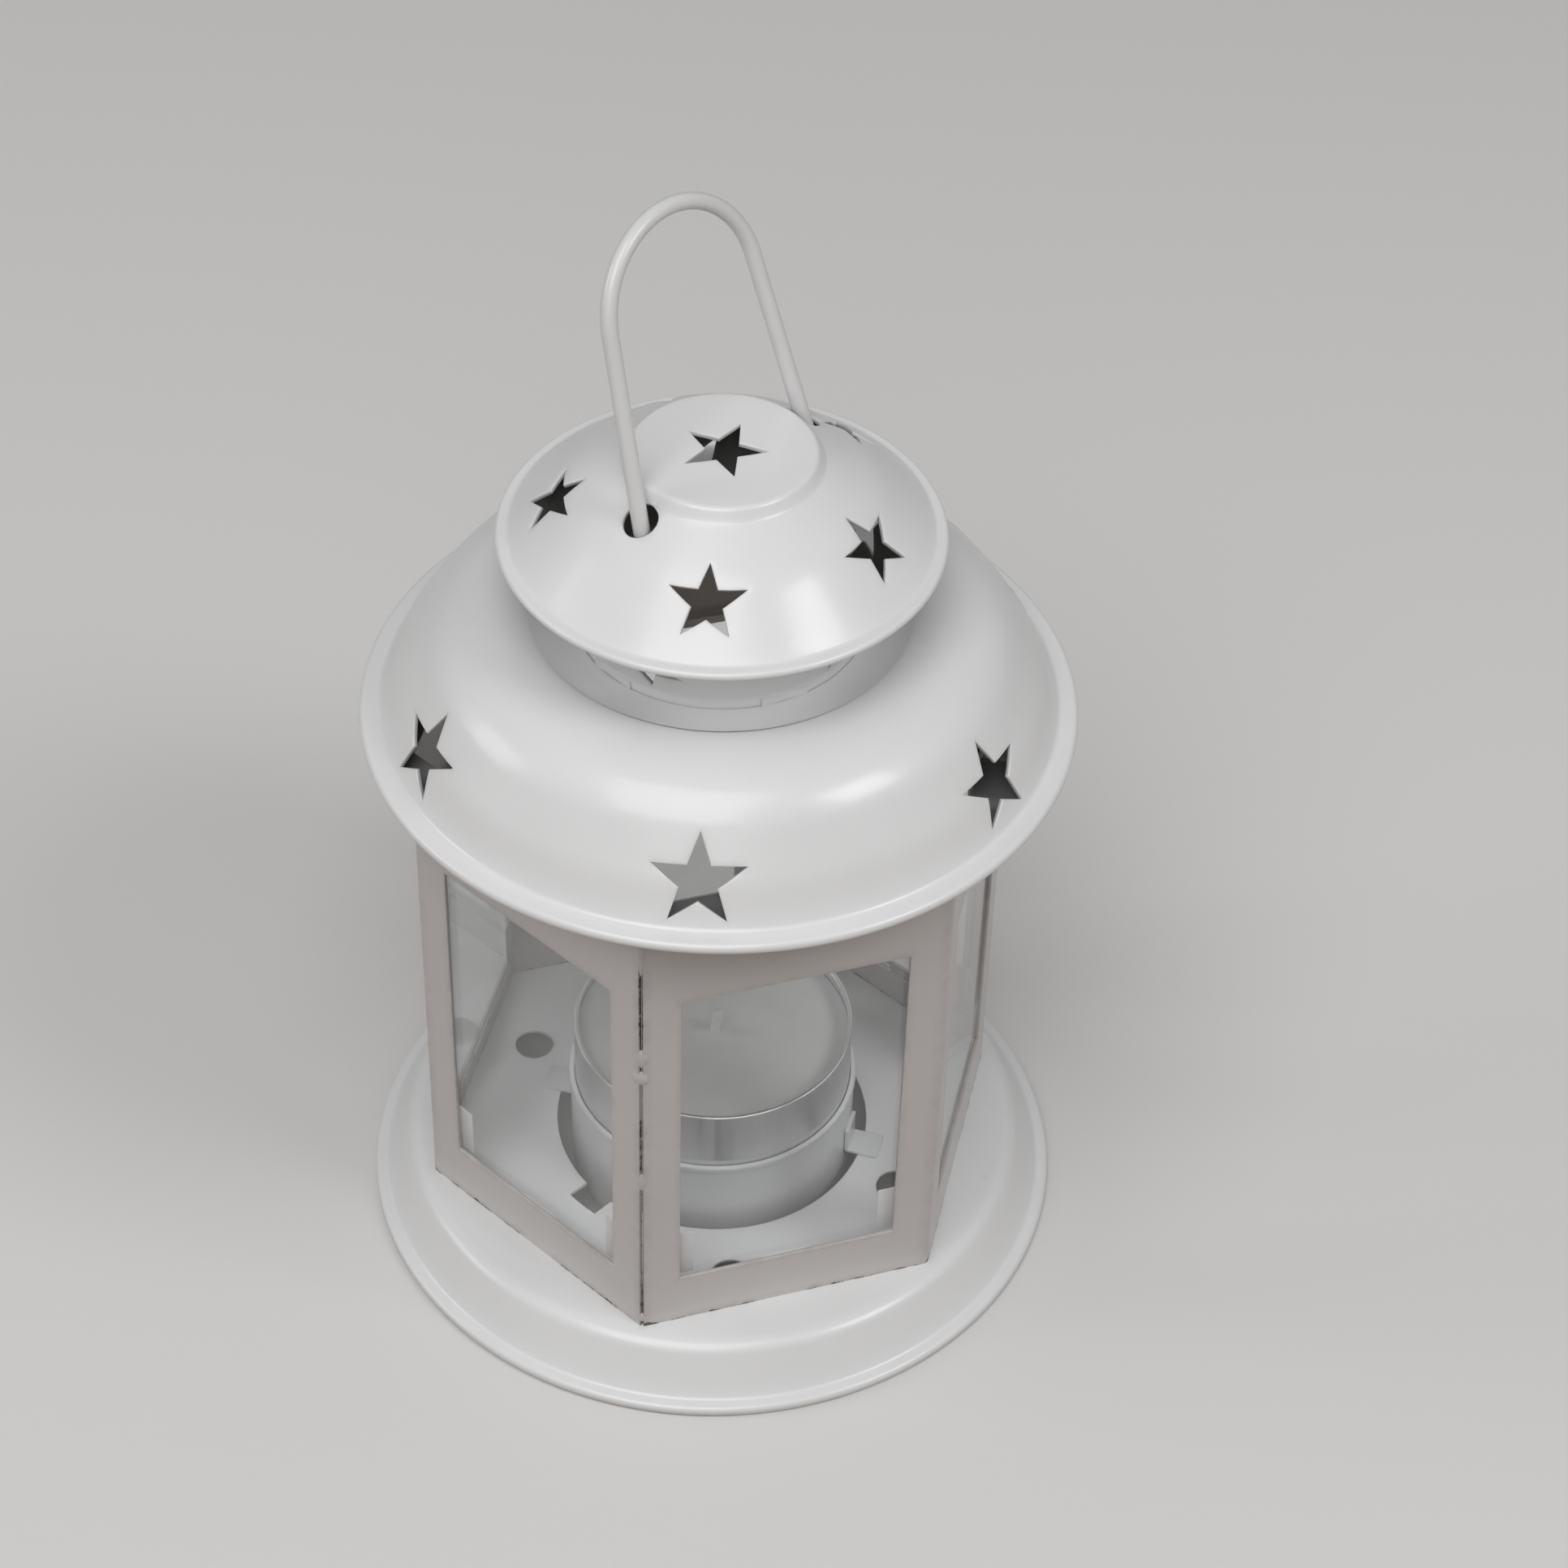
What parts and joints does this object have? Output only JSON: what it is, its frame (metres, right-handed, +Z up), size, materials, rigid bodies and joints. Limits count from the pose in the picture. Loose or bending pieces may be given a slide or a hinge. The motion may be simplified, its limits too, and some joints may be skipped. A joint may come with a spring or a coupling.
{
  "type": "tealight lantern",
  "caption": "Small punched sheet-metal tealight lantern with a hexagonal glazed body, bell roof, domed cap, wire bail and a twist-lock candle cup.",
  "frame": {"origin": "centre of the base's rim, on the surface the lantern stands on", "axes": "+Z up along the body's axis; the body's seam corner faces -Y and two of its windows face +X and -X"},
  "size_m": [0.092, 0.092, 0.15],
  "materials": {
    "white_paint": "gloss white enamel",
    "window_glass": "clear sheet glass",
    "candle_aluminium": "drawn, satin",
    "wax": "white paraffin wax",
    "tinned_steel": "tinned",
    "cotton": "waxed braid"
  },
  "bodies": {
    "lantern": {"base_dish": "white_paint", "body_frame": "white_paint", "glass_pane_1": "window_glass", "glass_pane_2": "window_glass", "glass_pane_3": "window_glass", "glass_pane_4": "window_glass", "glass_pane_5": "window_glass", "glass_pane_6": "window_glass", "side_glass_clips": "white_paint", "rail_glass_clips": "white_paint", "ceiling_plate": "white_paint", "roof": "white_paint", "vent_collar": "white_paint", "cap": "white_paint"},
    "cup": {"candle_cup": "white_paint"},
    "candle": {"tealight_case": "candle_aluminium", "candle_wax": "wax", "wick_sustainer": "tinned_steel", "candle_wick": "cotton"},
    "bail": {"bail_handle": "white_paint"}
  },
  "joints": [
    {"name": "cup_twist", "type": "hinge", "parent": "lantern", "child": "cup", "pos_m": [0, 0, 0.008], "axis": [0, 0, 1], "range_deg": [0, 60]},
    {"name": "candle_lift", "type": "slide", "parent": "cup", "child": "candle", "axis": [0, 0, 1], "range_m": [0, 0.018]},
    {"name": "bail_swing", "type": "hinge", "parent": "lantern", "child": "bail", "pos_m": [0, 0, 0.11777], "axis": [0.5, 0.866, 0], "range_deg": [-22.5, 57.5]}
  ]
}
